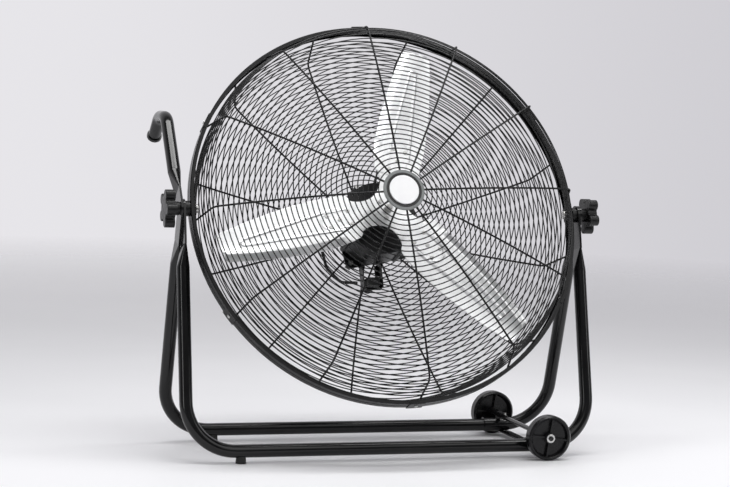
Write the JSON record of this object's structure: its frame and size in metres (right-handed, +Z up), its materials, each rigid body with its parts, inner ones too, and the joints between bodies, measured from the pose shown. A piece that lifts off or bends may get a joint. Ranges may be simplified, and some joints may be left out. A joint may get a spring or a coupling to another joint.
{
  "type": "wheeled floor fan",
  "caption": "Round wire-caged floor fan that tilts between two bent-tube frames, with a carry handle, wheels and clamp knobs.",
  "frame": {"origin": "on the floor, under the middle of the whole fan", "axes": "+Z up, -Y the way the fan blows, +X towards the wheels (right of someone facing the fan)"},
  "size_m": [0.9448, 0.5252, 0.8919],
  "materials": {
    "frame_black": "gloss black powder coat",
    "guard_black": "satin black coated wire",
    "blade_aluminium": "bright rolled aluminium",
    "zinc_steel": "zinc-plated steel",
    "core_steel": "laminated electrical steel",
    "winding_copper": "enamelled copper wire",
    "motor_black": "semi-gloss black enamel",
    "black_plastic": "fine-grained moulded plastic",
    "badge_grey": "satin grey moulded plastic",
    "badge_white": "white moulded plastic",
    "rubber_black": "moulded rubber"
  },
  "bodies": {
    "stand": {"front_frame_tube": "frame_black", "rear_frame_tube": "frame_black", "handle_end_cap": "black_plastic", "rubber_feet": "rubber_black", "foot_screws": "zinc_steel", "axle_brackets": "frame_black", "cross_strip": "frame_black", "strip_fasteners": "zinc_steel", "axle_rod": "frame_black", "axle_push_nuts": "zinc_steel", "wheel_spacers": "black_plastic", "pivot_washers": "black_plastic"},
    "head": {"rim_hoop": "guard_black", "front_guard_rings": "guard_black", "front_guard_ribs": "guard_black", "rear_guard_rings": "guard_black", "rear_guard_ribs": "guard_black", "rear_guard_disc": "guard_black", "guard_clips": "guard_black", "guard_screws": "zinc_steel", "badge_plate": "badge_grey", "badge_cap": "badge_white", "badge_back_plate": "black_plastic", "pivot_bolts": "zinc_steel", "pivot_bosses": "black_plastic", "pivot_inner_blocks": "black_plastic", "motor_rear_shell": "motor_black", "motor_front_shell": "motor_black", "motor_stator": "core_steel", "motor_windings": "winding_copper", "motor_bearings": "zinc_steel", "motor_screws": "zinc_steel", "motor_plate": "motor_black", "motor_mount_screws": "zinc_steel", "plate_clamps": "zinc_steel", "plate_bolts": "zinc_steel", "plate_nuts": "zinc_steel", "capacitor_box": "black_plastic", "switch_bracket": "motor_black", "speed_switch": "black_plastic", "motor_lead": "rubber_black", "motor_gland": "black_plastic"},
    "rotor": {"motor_shaft": "zinc_steel", "rotor_core": "core_steel", "hub_boss": "zinc_steel", "hub_screws": "zinc_steel", "hub_nut": "zinc_steel", "blade_spider": "blade_aluminium", "blade_1": "blade_aluminium", "blade_2": "blade_aluminium", "blade_3": "blade_aluminium", "blade_rivets": "zinc_steel"},
    "left_knob": {"left_knob": "black_plastic", "left_knob_insert": "zinc_steel"},
    "right_knob": {"right_knob": "black_plastic", "right_knob_insert": "zinc_steel"},
    "front_wheel": {"front_wheel": "black_plastic"},
    "rear_wheel": {"rear_wheel": "black_plastic"},
    "speed_knob": {"speed_knob": "black_plastic"}
  },
  "joints": [
    {"name": "head_tilt", "type": "hinge", "parent": "stand", "child": "head", "pos_m": [0, -0.0227, 0.503], "axis": [1, 0, 0], "range_deg": [-65, 115]},
    {"name": "fan_spin", "type": "hinge", "parent": "head", "child": "rotor", "pos_m": [0, -0.0227, 0.503], "axis": [0, -0.907, 0.421], "continuous": true},
    {"name": "left_knob_turn", "type": "hinge", "parent": "head", "child": "left_knob", "pos_m": [-0.46, -0.0227, 0.503], "axis": [-1, 0, 0], "range_deg": [0, 360]},
    {"name": "right_knob_turn", "type": "hinge", "parent": "head", "child": "right_knob", "pos_m": [0.46, -0.0227, 0.503], "axis": [1, 0, 0], "range_deg": [0, 360]},
    {"name": "front_wheel_roll", "type": "hinge", "parent": "stand", "child": "front_wheel", "pos_m": [0.326, -0.1757, 0.047], "axis": [0, 1, 0], "continuous": true},
    {"name": "rear_wheel_roll", "type": "hinge", "parent": "stand", "child": "rear_wheel", "pos_m": [0.326, 0.148, 0.047], "axis": [0, 1, 0], "continuous": true},
    {"name": "speed_knob_turn", "type": "hinge", "parent": "head", "child": "speed_knob", "pos_m": [-0.0115, 0.03889, 0.3388], "axis": [0, -0.907, 0.421], "range_deg": [0, 270]}
  ]
}
